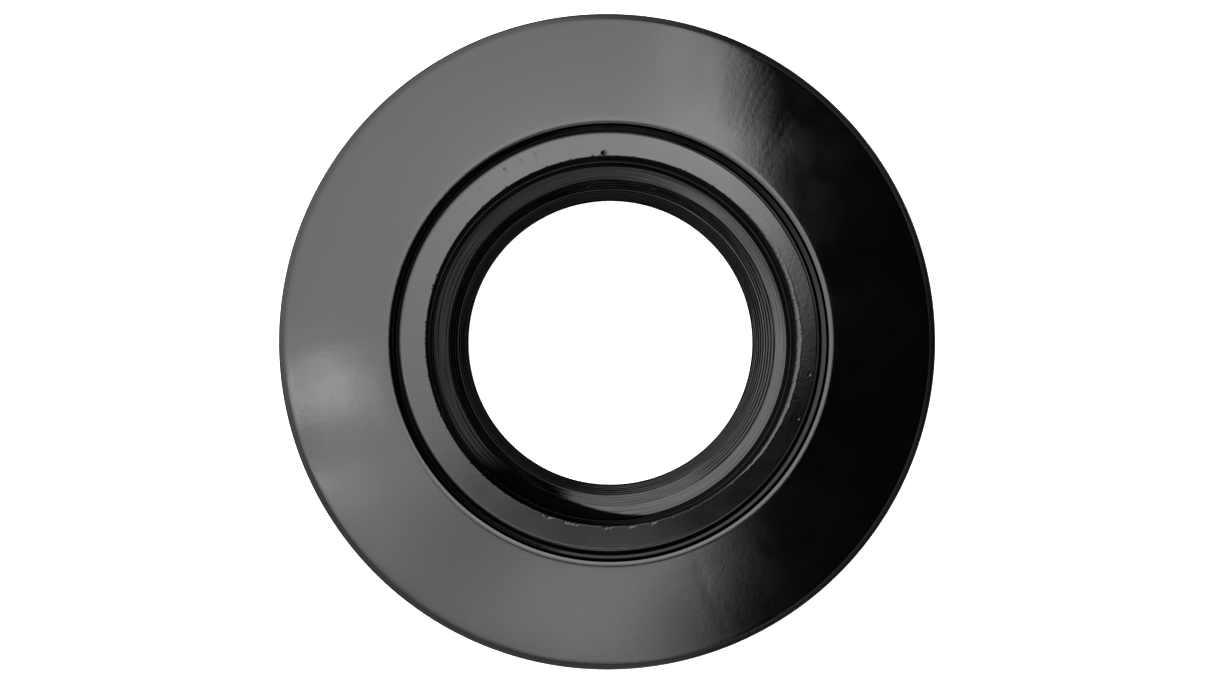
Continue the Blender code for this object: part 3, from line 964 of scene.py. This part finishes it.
def floor_material():
    """Pale and glowing from above. Clear from below, so the object's underside can be seen."""
    material, nodes, shader, _ = new_material("pale_floor")
    shader.inputs["Base Color"].default_value = grey(0.85)
    shader.inputs["Roughness"].default_value = 1.0
    shader.inputs["Specular IOR Level"].default_value = 0.0
    shader.inputs["Emission Color"].default_value = grey(1.0)
    shader.inputs["Emission Strength"].default_value = FLOOR_GLOW
    sides = nodes.add("ShaderNodeMixShader")
    nodes.put(sides.inputs[0], nodes.add("ShaderNodeNewGeometry").outputs["Backfacing"])
    nodes.put(sides.inputs[1], shader.outputs[0])
    nodes.put(sides.inputs[2], nodes.add("ShaderNodeBsdfTransparent").outputs[0])
    nodes.put(material.node_tree.nodes["Material Output"].inputs["Surface"], sides.outputs[0])
    return material


def make_floor():
    mesh = bpy.data.meshes.new("floor")
    far, near = FLOOR_HALF, -FLOOR_HALF
    corners = [(near, near, 0.0), (far, near, 0.0), (far, far, 0.0), (near, far, 0.0)]
    mesh.from_pydata(corners, [], [(0, 1, 2, 3)])
    mesh.materials.append(floor_material())
    floor = bpy.data.objects.new("floor", mesh)
    bpy.context.scene.collection.objects.link(floor)
    floor.visible_glossy = False
    floor.visible_diffuse = False


def light_share(n, x, y):
    """1 in the big soft light, 0 past its right edge, which runs nearly along Y and is softer towards -Y."""
    ahead = n.math("MAXIMUM", y, 0.0)
    behind = n.math("MINIMUM", y, 0.0)
    bend = n.ramp(y, 0.29, 0.37, 0.0, -0.03)
    curve = n.sum(n.times(ahead, 0.24), n.times(ahead, ahead, -0.28), n.times(behind, 0.05), bend)
    edge = n.sum(LIGHT_EDGE, curve)
    softness = n.math("MAXIMUM", n.sum(0.05, n.times(ahead, -0.10), n.times(behind, -0.05)), 0.018)
    past_edge = n.math("DIVIDE", n.math("SUBTRACT", x, edge), softness)
    return n.ramp(past_edge, -1.0, 1.0, 1.0, 0.004)


def overhead(n, x, y, light):
    """The light with its brighter strip and its patches."""
    strip = n.sum(1.0, n.times(0.4, n.ramp(x, 0.03, 0.12), n.ramp(y, 0.0, 0.25)))
    patches = []
    for at_x, at_y, wide, tall, inner, outer, factor in PATCHES:
        patches.append(n.ramp(n.patch(x, y, at_x, at_y, wide, tall), inner, outer, factor, 1.0))
    return n.times(light, strip, *patches)


def lower_room(n, x, y, z):
    """Low down, the room is pale on the left, dim below and dark on the right and past the light's edge."""
    facing = n.sum(n.times(x, -0.934), n.times(y, 0.358), n.times(n.sum(z, -0.587), 1.7))
    corner = n.sum(n.times(x, 0.57), n.times(y, 0.82))
    lowest = n.ramp(y, -0.5, 0.3, 0.22, 0.55)
    wall_z = n.sum(z, n.ramp(y, -0.35, 0.0, -0.08, 0.0))
    pale = n.times(n.ramp(wall_z, 0.42, 0.58, lowest, 1.0), n.ramp(corner, 0.60, 0.90, 1.0, 0.03))
    higher = n.times(n.ramp(z, 0.52, 0.66, 0.15, 0.26), n.ramp(x, 0.84, 0.92, 1.0, 0.1))
    dim = n.blend(n.ramp(z, 0.38, 0.48), n.ramp(x, 0.10, 0.35, 0.22, 0.015), higher)
    return n.blend(n.ramp(facing, -0.08, 0.18), dim, pale)


def level_room(n, x, y, z):
    """Level with the object there is only the pale floor's glow and three upright soft boxes."""
    boxes = []
    for degrees in SOFT_BOXES:
        spin = math.radians(degrees)
        towards = n.sum(n.times(x, math.cos(spin)), n.times(y, math.sin(spin)))
        box = n.ramp(towards, 0.86, 0.93, 0.0, SOFT_BOX_GLOW)
        boxes.append(n.times(box, n.ramp(z, 0.02, 0.12, 1.0, 0.0)))
    return n.times(n.ramp(z, -0.85, -0.60), n.sum(n.ramp(z, -0.45, -0.20, 0.24, 0.11), *boxes))


def make_world():
    """A room with one big soft light above and to the left. The camera itself sees plain white."""
    world = bpy.data.worlds.new("studio")
    bpy.context.scene.world = world
    world.use_nodes = True
    world.node_tree.nodes.clear()
    n = Nodes(world.node_tree)
    x, y, z = n.split(n.add("ShaderNodeTexCoord").outputs["Generated"])

    light = light_share(n, x, y)
    border = n.times(light, n.ramp(y, -0.5, 0.0, 0.05, 0.75))
    upper = n.blend(n.ramp(z, *OVERHEAD_FROM), border, overhead(n, x, y, light))
    room_light = n.blend(n.ramp(z, *LIGHT_FROM), lower_room(n, x, y, z), upper)
    strength = n.blend(n.ramp(z, *ROOM_FROM), level_room(n, x, y, z), room_light)

    room = n.add("ShaderNodeBackground")
    n.put(room.inputs["Color"], grey(1.0))
    n.put(room.inputs["Strength"], n.times(strength, SKY))
    seen = n.add("ShaderNodeBackground")
    n.put(seen.inputs["Color"], grey(1.0))
    choose = n.add("ShaderNodeMixShader")
    n.put(choose.inputs[0], n.add("ShaderNodeLightPath").outputs["Is Camera Ray"])
    n.put(choose.inputs[1], room.outputs[0])
    n.put(choose.inputs[2], seen.outputs[0])
    n.put(n.add("ShaderNodeOutputWorld").inputs["Surface"], choose.outputs[0])


def make_light():
    """A wide soft lamp above, which the glossy pieces don't mirror."""
    data = bpy.data.lights.new("soft_top", "AREA")
    data.shape = "DISK"
    data.size = 1.2
    data.energy = 3.0
    light = bpy.data.objects.new("soft_top", data)
    light.location = (-0.4, 0.3, 1.5)
    light.rotation_euler = (math.radians(-11.0), math.radians(-15.0), 0.0)
    light.visible_glossy = False
    bpy.context.scene.collection.objects.link(light)


def main():
    make_camera()
    make_floor()
    make_world()
    make_light()
    bpy.context.scene.view_settings.view_transform = "Standard"

    plate_plastic = moulded_plastic("plate_plastic", 0.105, 0.000012, PEEL, dusty=0.03)
    hub_plastic = moulded_plastic("hub_plastic", 0.12, 0.000012, PEEL, dusty=0.25)
    # the clamp ring's cone gets painted shade on its -Y side
    clamp_plastic = moulded_plastic("clamp_plastic", 0.14, 0.000004, painted_shade=True)
    seal_rubber = moulded_rubber("seal_rubber", 0.10, 0.25)
    gasket_rubber = moulded_rubber("gasket_rubber", 0.09, 0.38, PAINTED_GLINTS)
    washer_plastic = natural_plastic("washer_plastic")
    ring_steel = spring_steel("ring_steel")

    place(make_brim(), plate_plastic, "plate", "flange_plate")
    place(make_slip_washer(), washer_plastic, "plate", "slip_washer")
    place(make_retaining_ring(), ring_steel, "hub", "retaining_ring")
    place(make_hub(), hub_plastic, "hub", "collar_hub")
    place(make_clamp_ring(), clamp_plastic, "hub", "gasket_clamp_ring")
    place(make_swivel_seal(), seal_rubber, "hub", "swivel_seal")
    place(make_mouth_seal(), seal_rubber, "hub", "mouth_seal")
    place(make_pipe_gasket(), gasket_rubber, "hub", "pipe_gasket")
    place(make_spigot_seal(), seal_rubber, "hub", "spigot_seal")


main()
